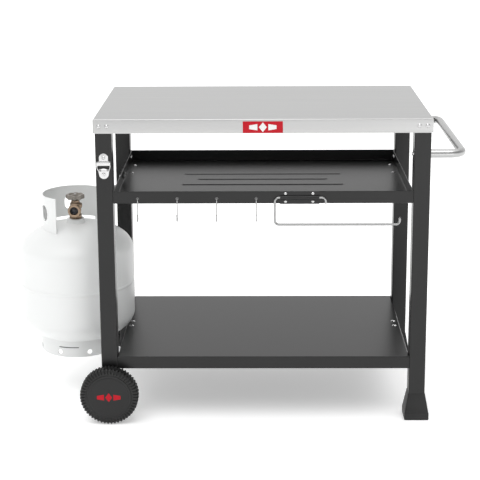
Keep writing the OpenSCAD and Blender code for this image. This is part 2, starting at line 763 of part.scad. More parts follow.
module cylinder_collar() color("white") at_cylinder() {
  sweep = 360 - (collar_open[1] - collar_open[0]);
  start = collar_open[1] - 90;
  base = shell_high + 61.5;
  difference() {
    rotate([0, 0, start]) rotate_extrude(angle = sweep, $fn = 96)
      translate([collar_r - collar_t, base]) square([collar_t, collar_top - 2 - base]);
    hand_hole(0, 8);
    for (a = [105, 208]) hand_hole(a, 17);
    // drain gap between the wall and the shell at the rear
    rotate([0, 0, 60]) rotate_extrude(angle = 86, $fn = 96)
      translate([collar_r - 6, base - e]) square([12, 10.5 + e]);
  }
  rotate([0, 0, start]) rotate_extrude(angle = sweep, $fn = 96)
    translate([collar_r - collar_t / 2, collar_top - 2]) circle(r = 2, $fn = 32);
}

module cylinder_foot_ring() color("white") at_cylinder() {
  top = foot_z + 46;
  difference() {
    union() {
      translate([0, 0, foot_z + 2]) ring(ring_r, ring_r - 3, top - foot_z - 2);
      rotate_extrude($fn = 96) translate([ring_r - 1.5, foot_z + 2]) circle(r = 2, $fn = 32);
    }
    for (i = [0 : 7]) rotate([0, 0, 22 + 45 * i]) translate([ring_r - 10, 0, foot_z + 14])
      to_right() cylinder(h = 20, r = 7, $fn = 32);
    // gap under the seam at the front
    rotate([0, 0, -98]) translate([ring_r - 10, -12, foot_z + 27]) cube([20, 24, 2]);
  }
}

// Valve with an outlet that faces the front
module valve_body() color("goldenrod") at_cylinder() difference() {
  union() {
    translate([0, 0, neck_z - 10]) cylinder(h = 20, r = 13, $fn = 48);
    translate([0, 0, neck_z + 10]) cylinder(h = 10, r = 17, $fn = 6);
    translate([0, 0, neck_z + 20]) cylinder(h = 34, r = 14.5, $fn = 48);
    translate([0, 0, neck_z + 54]) cylinder(h = 6, r = 11, $fn = 6);
    translate([8.5, 0, neck_z + 38]) cylinder(h = 15, r = 10, $fn = 48);
    translate([0, 0, outlet_z]) to_front() cylinder(h = 32, r = 17.5, $fn = 64);
  }
  translate([0, -32 - e, outlet_z]) rotate([-90, 0, 0]) cylinder(h = 20 + e, r = 11.2, $fn = 64);
  translate([0, -14, outlet_z]) rotate([-90, 0, 0]) cylinder(h = 12, r = 4, $fn = 32);
  translate([0, 0, outlet_z - 6]) cylinder(h = 40, r = 3.1, $fn = 32);
  translate([0, 0, neck_z - 20]) cylinder(h = 50, r = 3.1, $fn = 32);
}

module dip_tube() color("silver") at_cylinder() translate([0, 0, neck_z - 90]) difference() {
  cylinder(h = 92, r = 3.1, $fn = 32);
  translate([0, 0, -e]) cylinder(h = 94, r = 2.2, $fn = 32);
}

module valve_stem() color("silver") at_cylinder()
  translate([0, 0, outlet_z + 2]) cylinder(h = wheel_knob_z - outlet_z + 12, r = 3, $fn = 32);

// Outline of the handwheel: eight shallow finger lobes round a disc
function lobed_points() = [for (k = [0 : 127]) let (a = 360 * k / 128, r = 23.3 + 2.2 * cos(8 * a)) [r * cos(a), r * sin(a)]];

// Lobed handwheel, dished on top round its boss
module handwheel() color("gray") at_cylinder() translate([0, 0, wheel_knob_z]) difference() {
  linear_extrude(12) polygon(lobed_points());
  translate([0, 0, -e]) cylinder(h = 14 + e, r = 3, $fn = 32);
  rotate_extrude($fn = 64) polygon([[7, 8], [17, 8], [18, 12 + e], [7, 12 + e]]);
}

worktop();
worktop_ribs();
apron_screws();
apron_nuts();
name_badge();
leg_front_left();
leg_front_right();
leg_rear_left();
leg_rear_right();
leg_top_plugs();
leg_end_plugs();
boot_front_right();
boot_rear_right();
utility_tray();
tray_bolts();
tray_nuts();
tray_side_bars();
tray_floor_screws();
tray_floor_nuts();
lower_shelf();
shelf_bolts();
shelf_nuts();
shelf_side_bars();
shelf_floor_screws();
shelf_floor_nuts();
handle_tube();
handle_plugs();
handle_bolts();
axle_rod();
axle_washers();
axle_nuts();
bottle_opener();
opener_screws();
bar_bracket();
bracket_screws();
bracket_nuts();
cylinder_hook();
cylinder_hook_screws();
cylinder_hook_nuts();
towel_bar();
hook_1();
hook_2();
hook_3();
hook_4();
wheel_front_tyre();
wheel_front_hub();
wheel_front_bush();
wheel_front_cap();
wheel_rear_tyre();
wheel_rear_hub();
wheel_rear_bush();
wheel_rear_cap();
cylinder_shell();
cylinder_neck();
cylinder_collar();
cylinder_foot_ring();
valve_body();
dip_tube();
valve_stem();
handwheel();
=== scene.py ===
import json
import math

import bpy
from mathutils import Matrix, Vector

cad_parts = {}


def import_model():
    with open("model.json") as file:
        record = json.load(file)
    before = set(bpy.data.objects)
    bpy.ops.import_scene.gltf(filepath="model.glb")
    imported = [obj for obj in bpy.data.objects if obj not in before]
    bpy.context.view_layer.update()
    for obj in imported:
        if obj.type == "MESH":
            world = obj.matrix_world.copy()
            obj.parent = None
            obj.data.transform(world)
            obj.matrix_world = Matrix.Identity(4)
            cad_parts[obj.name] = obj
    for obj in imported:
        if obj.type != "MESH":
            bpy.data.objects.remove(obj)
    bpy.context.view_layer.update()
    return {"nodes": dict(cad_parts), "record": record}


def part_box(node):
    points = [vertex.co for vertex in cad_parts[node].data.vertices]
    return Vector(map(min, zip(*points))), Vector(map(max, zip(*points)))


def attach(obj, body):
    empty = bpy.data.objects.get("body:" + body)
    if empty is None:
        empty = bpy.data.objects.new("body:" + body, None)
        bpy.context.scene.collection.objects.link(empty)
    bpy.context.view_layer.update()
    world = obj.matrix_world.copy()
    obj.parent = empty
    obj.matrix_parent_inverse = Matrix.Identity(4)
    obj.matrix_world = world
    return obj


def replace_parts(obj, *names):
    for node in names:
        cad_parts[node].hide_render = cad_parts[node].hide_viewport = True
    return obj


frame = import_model()
nodes = frame["nodes"]

tray_low, tray_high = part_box("utility_tray")
CART = (tray_low.x + tray_high.x) / 2  # middle of the cart along X


# ---------------------------------------------------------------- materials

def new_material(name, color, rough, metal=0.0, **more):
    """A Principled material whose even values sit on the shader's own sockets."""
    mat = bpy.data.materials.new(name)
    mat.use_nodes = True
    shader = mat.node_tree.nodes["Principled BSDF"]
    shader.inputs["Base Color"].default_value = (*color, 1)
    shader.inputs["Roughness"].default_value = rough
    shader.inputs["Metallic"].default_value = metal
    for key, value in more.items():
        shader.inputs[key.replace("_", " ")].default_value = value
    return mat


def add(mat, kind, **settings):
    node = mat.node_tree.nodes.new(kind)
    for key, value in settings.items():
        setattr(node, key, value)
    return node


def link(mat, out, into):
    mat.node_tree.links.new(out, into)


def stretched(mat, scale):
    """Object coordinates in metres, times a scale on each axis."""
    coords = add(mat, "ShaderNodeTexCoord")
    mapping = add(mat, "ShaderNodeMapping")
    mapping.inputs["Scale"].default_value = scale
    link(mat, coords.outputs["Object"], mapping.inputs["Vector"])
    return mapping.outputs["Vector"]


def noise(mat, scale, detail=2.0, rough=0.5):
    tex = add(mat, "ShaderNodeTexNoise")
    tex.inputs["Scale"].default_value = 1.0
    tex.inputs["Detail"].default_value = detail
    tex.inputs["Roughness"].default_value = rough
    link(mat, stretched(mat, scale), tex.inputs["Vector"])
    return tex.outputs["Fac"]


def spread(mat, fac, low, high, start=0.3, end=0.7):
    """Maps a factor onto the range low to high."""
    node = add(mat, "ShaderNodeMapRange")
    for key, value in (("From Min", start), ("From Max", end), ("To Min", low), ("To Max", high)):
        node.inputs[key].default_value = value
    link(mat, fac, node.inputs["Value"])
    return node.outputs["Result"]


def two_tone(mat, fac, first, second, start=0.3, end=0.7):
    ramp = add(mat, "ShaderNodeValToRGB")
    ramp.color_ramp.elements[0].position = start
    ramp.color_ramp.elements[1].position = end
    ramp.color_ramp.elements[0].color = (*first, 1)
    ramp.color_ramp.elements[1].color = (*second, 1)
    link(mat, fac, ramp.inputs["Fac"])
    return ramp.outputs["Color"]


def shader_in(mat, name):
    return mat.node_tree.nodes["Principled BSDF"].inputs[name]


def bump(mat, height, strength, distance):
    """Raises the surface by a height pattern; distance is in metres."""
    node = add(mat, "ShaderNodeBump")
    node.inputs["Strength"].default_value = strength
    node.inputs["Distance"].default_value = distance
    link(mat, height, node.inputs["Height"])
    link(mat, node.outputs["Normal"], shader_in(mat, "Normal"))


def brushed(name, shade, rough, scale, strength=0.25):
    """Stainless steel. Brush lines run along the axis with the smallest scale; even scales are satin."""
    mat = new_material(name, (shade, shade, shade * 0.99), rough, 1.0)
    fine = noise(mat, scale, 3.0, 0.6)
    broad = noise(mat, tuple(0.06 * s for s in scale), 2.0)
    link(mat, spread(mat, fine, rough - 0.05, rough + 0.08), shader_in(mat, "Roughness"))
    tone = two_tone(mat, broad, (shade * 0.98,) * 3, (shade * 1.02, shade * 1.02, shade * 1.01))
    link(mat, tone, shader_in(mat, "Base Color"))
    bump(mat, fine, strength, 0.00006)
    return mat


def polished(name, shade, rough):
    """Bright metal with faint smears in its gloss."""
    mat = new_material(name, (shade, shade, shade), rough, 1.0)
    smear = noise(mat, (90, 90, 90), 3.0)
    link(mat, spread(mat, smear, rough - 0.04, rough + 0.07), shader_in(mat, "Roughness"))
    link(mat, two_tone(mat, smear, (shade * 0.92,) * 3, (shade,) * 3), shader_in(mat, "Base Color"))
    return mat


def grained(name, dark, light, rough, grain, depth, metal=0.0, **more):
    """Paint, coating or moulded plastic: fine grain, faint mottling and uneven gloss."""
    mat = new_material(name, dark, rough, metal, **more)
    skin = noise(mat, (grain,) * 3, 2.0, 0.6)
    patch = noise(mat, (5.0,) * 3, 2.0)
    link(mat, two_tone(mat, patch, dark, light), shader_in(mat, "Base Color"))
    link(mat, spread(mat, skin, rough - 0.03, rough + 0.04), shader_in(mat, "Roughness"))
    bump(mat, skin, 0.35, depth)
    return mat


def grey(value):
    return (value, value, value)


MATERIALS = {
    "worktop_steel": brushed("worktop_steel", 0.465, 0.34, (3, 900, 900)),
    "handle_steel": brushed("handle_steel", 0.44, 0.24, (900, 900, 900), 0.1),
    "bright_steel": polished("bright_steel", 0.64, 0.16),
    "wire_steel": polished("wire_steel", 0.36, 0.22),
    "bare_steel": polished("bare_steel", 0.52, 0.36),
    "charcoal_coat": grained("charcoal_coat", grey(0.007), grey(0.009), 0.31, 1500, 0.00004,
                             Specular_IOR_Level=0.38),
    "black_plastic": grained("black_plastic", grey(0.007), grey(0.010), 0.42, 1100, 0.00008,
                             Specular_IOR_Level=0.38),
    "tyre_rubber": grained("tyre_rubber", grey(0.007), grey(0.010), 0.46, 800, 0.00010,
                           Specular_IOR_Level=0.45),
    "bush_plastic": grained("bush_plastic", (0.55, 0.55, 0.52), (0.60, 0.60, 0.57), 0.5, 900, 0.00005),
    "badge_red": grained("badge_red", (0.44, 0.004, 0.013), (0.47, 0.005, 0.016), 0.45, 500, 0.00002,
                         Specular_IOR_Level=0.2),
    "badge_trim": grained("badge_trim", (0.72, 0.72, 0.71), (0.78, 0.78, 0.77), 0.4, 500, 0.00002),
    "cylinder_paint": grained("cylinder_paint", (0.75, 0.76, 0.755), (0.78, 0.79, 0.785), 0.34, 260, 0.00006),
    "valve_brass": grained("valve_brass", (0.20, 0.185, 0.155), (0.36, 0.25, 0.17), 0.40, 420, 0.00006, 1.0),
    "valve_seal": grained("valve_seal", (0.030, 0.033, 0.042), (0.045, 0.048, 0.058), 0.5, 600, 0.00005),
    "handwheel_grey": grained("handwheel_grey", (0.20, 0.18, 0.16), (0.26, 0.24, 0.21), 0.55, 700, 0.0001),
}


def paint(obj, slot_name):
    """Puts a slot's material on an object, in place of any it has."""
    obj.data.materials.clear()
    obj.data.materials.append(MATERIALS[slot_name])


for part in frame["record"]["subparts"]:
    paint(nodes[part["node"]], part["material_slot"])

# ---------------------------------------------------------------- shapes

LEG_X, LEG_Y = 400, 235  # middle of a leg, in millimetres from the middle of the cart


def at(x, y, z):
    """A point given in millimetres from the middle of the cart's floor."""
    return Vector((CART + x / 1000, y / 1000, z / 1000))


def piece(name, verts, faces, body, slot_name, crease=35):
    """A new visible mesh that rides on a body, smooth except across sharp edges."""
    mesh = bpy.data.meshes.new(name)
    mesh.from_pydata([tuple(v) for v in verts], [], faces)
    mesh.validate()
    mesh.shade_smooth()
    mesh.set_sharp_from_angle(angle=math.radians(crease))
    obj = bpy.data.objects.new(name, mesh)
    bpy.context.collection.objects.link(obj)
    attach(obj, body)
    paint(obj, slot_name)
    return obj


def loft(rings, cap_first=True, cap_last=True, wrap=False):
    """Vertices and faces of a skin over rings of points; wrap joins the last ring to the first."""
    count = len(rings[0])
    verts = [v for ring in rings for v in ring]
    faces = []
    spans = len(rings) if wrap else len(rings) - 1
    for k in range(spans):
        low, high = k * count, ((k + 1) % len(rings)) * count
        for i in range(count):
            j = (i + 1) % count
            faces.append((low + i, low + j, high + j, high + i))
    if cap_first and not wrap:
        faces.append(tuple(reversed(range(count))))
    if cap_last and not wrap:
        faces.append(tuple(range(len(verts) - count, len(verts))))
    return verts, faces


def merge(*shapes):
    """Several (vertices, faces) shapes as one."""
    verts, faces = [], []
    for more_verts, more_faces in shapes:
        base = len(verts)
        verts += more_verts
        faces += [tuple(i + base for i in face) for face in more_faces]
    return verts, faces


def lathe(profile, place, count=96):
    """Turns (radius, height) pairs about an axis; place maps local x, y, height to a point."""
    rings = []
    for radius, height in profile:
        ring = []
        for i in range(count):
            a = math.radians(360.0 * i / count)
            ring.append(place(radius * math.cos(a), radius * math.sin(a), height))
        rings.append(ring)
    return loft(rings, profile[0][0] > 0, profile[-1][0] > 0)


def arc(cx, cy, radius, start, end, steps):
    """Points on an arc from start to end, in degrees."""
    return [(cx + radius * math.cos(math.radians(start + (end - start) * i / steps)),
             cy + radius * math.sin(math.radians(start + (end - start) * i / steps)))
            for i in range(steps + 1)]


def tube(points, radius, count=20, round_ends=True):
    """A round bar along points, turned from ring to ring without twisting."""
    rings = []
    side = None
    for i, p in enumerate(points):
        ahead = points[min(i + 1, len(points) - 1)] - points[max(i - 1, 0)]
        ahead.normalize()
        if side is None:
            side = ahead.orthogonal().normalized()
        side = (side - ahead * side.dot(ahead)).normalized()
        up = ahead.cross(side)
        rings.append((p, ahead, side, up))
    steps = []
    if round_ends:
        p, ahead, side, up = rings[0]
        steps += [(p - ahead * radius * math.cos(t) * 0.6, side, up, max(math.sin(t), 0.05))
                  for t in (0.05, 0.5, 1.0)]
    steps += [(p, side, up, 1.0) for p, ahead, side, up in rings]
    if round_ends:
        p, ahead, side, up = rings[-1]
        steps += [(p + ahead * radius * math.cos(t) * 0.6, side, up, max(math.sin(t), 0.05))
                  for t in (1.0, 0.5, 0.05)]
    loops = []
    for p, side, up, size in steps:
        loops.append([p + (side * math.cos(a) + up * math.sin(a)) * radius * size
                      for a in (2 * math.pi * k / count for k in range(count))])
    return loft(loops)


def rounded_path(points, radius, steps=8):
    """The same path with its corners bent to a radius."""
    out = [points[0]]
    for before, corner, after in zip(points, points[1:], points[2:]):
        u, v = (before - corner).normalized(), (after - corner).normalized()
        half = u.angle(v) / 2
        run = radius / math.tan(half)
        centre = corner + (u + v).normalized() * radius / math.sin(half)
        first, last = corner + u * run - centre, corner + v * run - centre
        turn = first.angle(last)
        for i in range(steps + 1):
            t = i / steps
            w = (first * math.sin((1 - t) * turn) + last * math.sin(t * turn)) / math.sin(turn)
            out.append(centre + w)
    out.append(points[-1])
    return out


def rounded_box(low, high, bevel, steps=3):
    """Box from corner low to corner high, in cart millimetres, with rounded edges."""
    mid = [(a + b) / 2 for a, b in zip(low, high)]
    half = [(b - a) / 2 for a, b in zip(low, high)]
    rings = []
    for sign in (-1, 1):
        lifts = range(steps + 1) if sign < 0 else range(steps, -1, -1)
        for i in lifts:
            a = math.radians(90 * i / steps)
            inset = bevel * (1 - math.sin(a))
            z = mid[2] + sign * (half[2] - bevel + bevel * math.cos(a))
            ring = []
            for qx, qy, start in ((1, 1, 0), (-1, 1, 90), (-1, -1, 180), (1, -1, 270)):
                for x, y in arc(qx * (half[0] - bevel), qy * (half[1] - bevel), bevel - inset + 1e-3,
                                start, start + 90, steps):
                    ring.append(at(mid[0] + x, mid[1] + y, z))
            rings.append(ring)
    return loft(rings)


# ---------------------------------------------------------------- worktop

TOP_X, TOP_Y, TOP_Z = 425, 260, 800
APRON_Z = 764


def apron_ring(inset, drop, lower=False):
    """One closed loop round the worktop; the aprons' lower corners are rounded off."""
    hx, hy = TOP_X - inset, TOP_Y - inset
    loop = []
    marks = (0.0, 0.6, 1.4, 2.6, 4.2, 6.5)
    corner = 7.0

    def height(d):
        if not lower or d >= corner:
            return TOP_Z - drop
        return TOP_Z - drop + corner - math.sqrt(corner ** 2 - (corner - d) ** 2)

    for sx, sy, first in ((1, 1, "y"), (-1, 1, "x"), (-1, -1, "y"), (1, -1, "x")):
        before = [(d, True) for d in reversed(marks[1:])]
        after = [(d, False) for d in marks[1:]]
        for d, coming in before + [(0.0, True)] + after:
            along_y = (first == "y") == coming
            x = sx * (hx - (0 if along_y else d))
            y = sy * (hy - (d if along_y else 0))
            soft = 0.35 * math.exp(-d / 0.7)
            loop.append(at(x - sx * soft, y - sy * soft, height(d)))
    return loop


def build_worktop():
    """Brushed sheet with rolled long edges, folded aprons and their inner hem."""
    bend = 3.0
    rings = [apron_ring(bend + 1.5, 0.0)]
    for i in range(7):
        a = math.radians(90 * i / 6)
        rings.append(apron_ring(bend * (1 - math.sin(a)), bend * (1 - math.cos(a))))
    rings += [apron_ring(0, 14), apron_ring(0, 27), apron_ring(0, 35.2, True), apron_ring(0.4, 36, True)]
    rings += [apron_ring(1.6, 36, True), apron_ring(3.4, 36, True), apron_ring(4.0, 35.2, True)]
    rings += [apron_ring(4.0, 26), apron_ring(4.0, 13), apron_ring(1.3, 12.5), apron_ring(1.3, 6)]
    rings += [apron_ring(bend + 1.5, 1.2)]
    top = piece("worktop_sheet", *loft(rings), "frame", "worktop_steel", 30)
    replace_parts(top, "worktop")


BADGE_W, BADGE_H, BADGE_T = 100, 29.5, 0.9


def build_badge():
    """Red enamel plate with a plain raised ornament in white."""
    mid_z = APRON_Z + 0.8 + BADGE_H / 2
    low = (-BADGE_W / 2, -TOP_Y - BADGE_T, mid_z - BADGE_H / 2)
    high = (BADGE_W / 2, -TOP_Y, mid_z + BADGE_H / 2)
    base = piece("badge_plate", *rounded_box(low, high, 0.4), "frame", "badge_red")
    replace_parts(base, "name_badge")
    marks = ornament(1.0, 1.45, lambda u, v, h: at(u, -260.8 - h, mid_z + v), 0.45)
    piece("badge_trim", *merge(*marks), "frame", "badge_trim")


def ornament(wide, tall, place, height):
    """A lozenge between two tapering bars."""
    shapes = []
    for outline in (
        [(0, 8.5), (-10, 0), (0, -8.5), (10, 0)],
        [(14, 5.5), (14, -5.5), (34, -3.2), (34, 3.2)],
        [(-14, -5.5), (-14, 5.5), (-34, 3.2), (-34, -3.2)],
    ):
        rings = [[place(u * wide * k, v * tall * k, h) for u, v in outline]
                 for k, h in ((1.0, 0.0), (1.0, height * 0.7), (0.97, height))]
        shapes.append(loft(rings))
    return shapes


# ---------------------------------------------------------------- wheels

LUGS = 52
POINTS_PER_LUG = 12
WHEEL_X, WHEEL_Z = -400, 76  # the axle
WHEEL_Y = 258.5  # inner face of the wheel's space beside the leg


def ridge(turns, wide, slope):
    """1 on a lug and 0 between lugs, for a position counted in lugs."""
    d = abs((turns + 0.5) % 1.0 - 0.5) * 2
    return min(1.0, max(0.0, (wide - d) / slope + 0.5))


def build_wheel(name, side):
    """Lugged tyre and domed cap. side is -1 at the front and 1 at the rear; a is measured outwards."""
    body = "wheel_" + name

    def place(x, z, a):
        return at(WHEEL_X + x, side * (WHEEL_Y + a), WHEEL_Z + z)

    # (radius, a, tread lug depth, side groove depth, lug shift)
    profile = [(44, 4.0, 0, 0, 0), (57, 3.0, 0, 0, 0), (62, 2.0, 0, 0, 0), (70, 1.7, 0.4, 1.2, 0),
               (73.5, 3.0, 2.2, 0.8, 0), (75.6, 5.4, 3.2, 0, 0), (76, 7.0, 3.4, 0, 0),
               (76, 15.6, 3.4, 0, 0), (75.4, 16.2, 2.6, 0, 0), (72.6, 16.6, 0, 0, 0),
               (72.6, 20.4, 0, 0, 0.5), (75.4, 20.8, 2.6, 0, 0.5), (76, 21.4, 3.4, 0, 0.5),
               (76, 30.0, 3.4, 0, 0.5), (75.5, 32.2, 3.2, 0.4, 0.5), (74.0, 34.4, 2.2, 1.8, 0.5),
               (71.5, 35.8, 0.8, 2.8, 0.5), (68, 36.6, 0, 3.1, 0.5), (64.5, 36.8, 0, 2.8, 0.5),
               (62.0, 36.6, 0, 1.2, 0.5), (60.8, 36.4, 0, 0, 0), (59.8, 36.0, 0, 0, 0),
               (58.9, 35.6, 0, 0, 0), (56, 34.8, 0, 0, 0), (44, 34.0, 0, 0, 0)]
    count = LUGS * POINTS_PER_LUG
    rings = []
    for radius, a, tread, groove, shift in profile:
        ring = []
        for i in range(count):
            up = ridge(i / POINTS_PER_LUG + shift, 0.52, 0.24)
            r = radius - tread * (1 - up)
            angle = 2 * math.pi * i / count
            ring.append(place(r * math.cos(angle), r * math.sin(angle), a - groove * (1 - up)))
        rings.append(ring)
    tyre = piece(body + "_tread", *loft(rings, wrap=True), body, "tyre_rubber", 40)
    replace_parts(tyre, body + "_tyre")
    disc = [(58.6, 33.4), (58.6, 36.0), (58.2, 36.6), (57.4, 36.9), (54.6, 37.1), (54.0, 36.8), (53.2, 36.8)]
    disc += [(52.6, 37.15), (48, 37.6), (40, 38.1), (30, 38.5), (20, 38.75), (10, 38.87), (0, 38.9)]
    cap = piece(body + "_disc", *lathe(disc, place, 128), body, "black_plastic", 40)
    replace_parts(cap, body + "_cap")
    marks = ornament(0.9, 1.45, lambda u, v, h: place(u, v, 38.2 + h), 0.9)
    piece(body + "_mark", *merge(*marks), body, "badge_red")


# ---------------------------------------------------------------- gas cylinder

CYL_X = -511
SHELL_R, SHELL_LOW, SHELL_HIGH = 155.0, 216.0, 392.0
NECK_Z = 469.5
OUTLET_Z = 505.5
KNOB_Z = 533.5


def upright(x, y, z):
    return at(CYL_X + x, y, z)


def forward(z):
    """Places a turned piece with its axis towards the front, at height z."""
    return lambda x, y, h: at(CYL_X + x, -h, z + y)


def build_cylinder():
    """Welded vessel with elliptical heads and a weld bead, its neck boss, a dark strip of painted shadow over
    the foot ring's slot, and valve.
    """
    mid = (SHELL_LOW + SHELL_HIGH) / 2
    head = SHELL_R / 2
    profile = [(0.0, SHELL_LOW - head)]
    for i in range(1, 33):
        a = math.radians(90 * i / 32)
        profile.append((SHELL_R * math.sin(a), SHELL_LOW - head * math.cos(a)))
    profile += [(SHELL_R, mid - 40), (SHELL_R, mid - 6)]
    for dz in (-3.6, -3.3, -2.4, -1.2, 0, 1.2, 2.4, 3.3, 3.6):
        profile.append((SHELL_R + 0.8 * math.sqrt(1 - (dz / 3.6) ** 2), mid + dz))
    profile += [(SHELL_R, mid + 6), (SHELL_R, mid + 40)]
    for i in range(0, 31):
        a = math.radians(90 * i / 32)
        profile.append((SHELL_R * math.cos(a), SHELL_HIGH + head * math.sin(a)))
    shell = piece("cylinder_vessel", *lathe(profile, upright, 160), "cylinder", "cylinder_paint", 60)
    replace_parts(shell, "cylinder_shell")
    neck = [(31, NECK_Z - 5.5), (27.5, NECK_Z - 3), (25.6, NECK_Z), (24, NECK_Z + 5), (23.2, NECK_Z + 9)]
    neck += [(22.4, NECK_Z + 10), (14, NECK_Z + 10), (14, NECK_Z - 2)]
    boss = piece("cylinder_boss", *lathe(neck, upright, 64), "cylinder", "cylinder_paint", 45)
    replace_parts(boss, "cylinder_neck")
    build_slot_shadow()
    build_valve()


def build_slot_shadow():
    """Short dark strip at the front of the foot ring: painted shadow of the ring's slot, longer than the slot
    itself.
    """
    low, high = 140.9, 143.1
    start, sweep = -114, 30
    rings = []
    for i in range(33):
        a = math.radians(start + sweep * i / 32)
        rings.append([upright(r * math.cos(a), r * math.sin(a), z)
                      for r, z in ((105.0, low), (106.2, low), (106.2, high), (105.0, high))])
    # dark strip just proud of the ring: painted shadow of the slot, not a part of the cylinder
    piece("foot_ring_slot_shadow", *loft(rings), "cylinder", "charcoal_coat")


def build_valve():
    """Forged valve: two hexagons, a stout trunk with a side lobe and a ribbed outlet."""
    hexes = []
    root = 1 / math.cos(math.radians(30))
    for low, high, flat in ((NECK_Z + 10, NECK_Z + 20, 15.6), (NECK_Z + 53, NECK_Z + 60, 10.4)):
        rings = []
        for z, k in ((low, 0.95), (low + 1, 1.0), (high - 1, 1.0), (high, 0.94)):
            rings.append([upright(flat * k * root * math.cos(math.radians(60 * i + 30)),
                                  flat * k * root * math.sin(math.radians(60 * i + 30)), z)
                          for i in range(6)])
        hexes.append(loft(rings))
    trunk = [(12.8, NECK_Z - 10), (12.8, NECK_Z + 20), (13.4, NECK_Z + 20.5), (14.5, NECK_Z + 23)]
    trunk += [(14.5, NECK_Z + 50), (13.8, NECK_Z + 52.5), (12.4, NECK_Z + 54), (10.6, NECK_Z + 54.4)]
    body = lathe(trunk, upright, 48)
    lobe = [(6.0, NECK_Z + 37), (8.6, NECK_Z + 38.2), (9.8, NECK_Z + 41), (9.9, NECK_Z + 48)]
    lobe += [(9.0, NECK_Z + 51), (6.6, NECK_Z + 52.6), (2.0, NECK_Z + 53.2)]
    shoulder = lathe(lobe, lambda x, y, h: upright(x + 8.5, y, h), 40)
    outlet = [(14.4, 6.0), (15.4, 12.0)]
    for k in range(4):
        a = 13 + k * 4.2
        outlet += [(15.9, a), (17.4, a + 0.9), (17.4, a + 2.3), (15.9, a + 3.2)]
    outlet += [(16.2, 30.2), (16.8, 30.8), (16.4, 32.0), (11.8, 32.0), (11.2, 31.4), (11.2, 19.2)]
    outlet += [(6.0, 19.0), (4.0, 21.0), (0.0, 21.0)]
    port = lathe(outlet, forward(OUTLET_Z), 64)
    valve = merge(*hexes, body, shoulder, port)
    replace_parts(piece("valve_casting", *valve, "cylinder", "valve_brass", 40), "valve_body")
    seal = [(10.9, 20.0), (10.9, 22.6), (10.2, 23.4), (8.8, 23.6), (8.0, 22.9), (7.6, 21.4)]
    seal += [(7.2, 20.6), (3.8, 20.6), (3.4, 24.2), (0.0, 24.6)]
    plug = piece("valve_seal", *lathe(seal, forward(OUTLET_Z), 48), "cylinder", "tyre_rubber", 40)
    plug.data.materials[0] = MATERIALS["valve_seal"]


def build_handwheel():
    """Eight-lobed handwheel with a dished top."""
    count = 128
    rings = []
    levels = [(0.30, 0.0), (0.90, 0.0), (0.97, 0.8), (1.0, 2.4), (1.0, 9.4), (0.97, 11.2), (0.90, 12.0)]
    for size, z in levels:
        ring = []
        for i in range(count):
            a = 2 * math.pi * i / count
            r = (23.3 + 2.2 * math.cos(8 * a)) * size
            ring.append(upright(r * math.cos(a), r * math.sin(a), KNOB_Z + z))
        rings.append(ring)
    dish = [(18.6, 12.0), (17.4, 11.3), (16.4, 8.6), (8.4, 8.0), (7.4, 8.8), (7.0, 11.4), (6.2, 12.0)]
    turns = [2 * math.pi * i / count for i in range(count)]
    for radius, z in dish:
        rings.append([upright(radius * math.cos(a), radius * math.sin(a), KNOB_Z + z) for a in turns])
    knob = piece("handwheel_cast", *loft(rings), "handwheel", "handwheel_grey", 40)
    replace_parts(knob, "handwheel")


# ---------------------------------------------------------------- tray, shelf, boots

PAN_X, PAN_Y = 379, 255  # half of the tray's outside
TRAY_FLOOR_Z, TRAY_TOP_Z = 583.2, 612.9
BEAD_SHIFT_Y = 16  # the beads lie a little behind the tray's middle


def build_beads():
    """Soft flanks round the stiffening beads that the tray has in its floor."""
    shapes = []
    for y, length in ((-62, 430), (0, 350), (62, 430)):
        rings = []
        for spread_mm, rise in ((13.0, -0.2), (11.0, 0.06), (9.2, 0.22), (7.6, 0.48), (6.2, 0.72),
                                (4.2, 0.86), (1.8, 0.92)):
            half = length / 2 - 5.5
            ring = []
            for cx, start in ((half, -90), (-half, 90)):
                for u, v in arc(cx, 0, spread_mm, start, start + 180, 14):
                    ring.append(at(u, y + BEAD_SHIFT_Y + v, TRAY_FLOOR_Z + rise))
            rings.append(ring)
        shapes.append(loft(rings))
    piece("tray_beads", *merge(*shapes), "frame", "charcoal_coat", 60)


def edge_bead(name, half_x, half_y, z, radius):
    """Rolled edge round a pan, as one closed loop."""
    path = []
    bend = 4.0
    for sx, sy, start in ((1, 1, 0), (-1, 1, 90), (-1, -1, 180), (1, -1, 270)):
        path += arc(sx * (half_x - bend), sy * (half_y - bend), bend, start, start + 90, 6)
    count = len(path)
    turns = [2 * math.pi * k / 12 for k in range(12)]
    rings = []
    for i, (x, y) in enumerate(path):
        (ax, ay), (bx, by) = path[i - 1], path[(i + 1) % count]
        out = Vector((by - ay, ax - bx, 0)).normalized()
        rings.append([at(x, y, z) + out * radius / 1000 * math.cos(t)
                      + Vector((0, 0, radius / 1000 * math.sin(t))) for t in turns])
    piece(name, *loft(rings, wrap=True), "frame", "charcoal_coat", 60)


def build_boot(name, sy):
    """Moulded boot, flared at the foot, with soft edges and a lip round the leg."""
    cx, cy = LEG_X, sy * LEG_Y

    def ring(half, z, r):
        loop = []
        for qx, qy, start in ((1, 1, 0), (-1, 1, 90), (-1, -1, 180), (1, -1, 270)):
            loop += [at(cx + x, cy + y, z)
                     for x, y in arc(qx * (half - r), qy * (half - r), r, start, start + 90, 5)]
        return loop

    # (half width, height, corner radius)
    sections = [(30.6, 0, 3), (31.7, 0.5, 3.4), (32, 1.6, 3.6), (32, 17, 3.6), (31.7, 18.4, 3.6),
                (31.2, 20, 3.6), (26.5, 45, 3.4), (22.3, 68.0, 3.2), (21.9, 69.4, 3.0),
                (21.4, 70, 2.8), (21.05, 69.8, 2.4), (21.05, 60, 2.4)]
    rings = [ring(*section) for section in sections]
    boot = piece(name + "_moulded", *loft(rings, cap_last=False), "frame", "black_plastic", 30)
    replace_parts(boot, name)


# ---------------------------------------------------------------- bottle opener

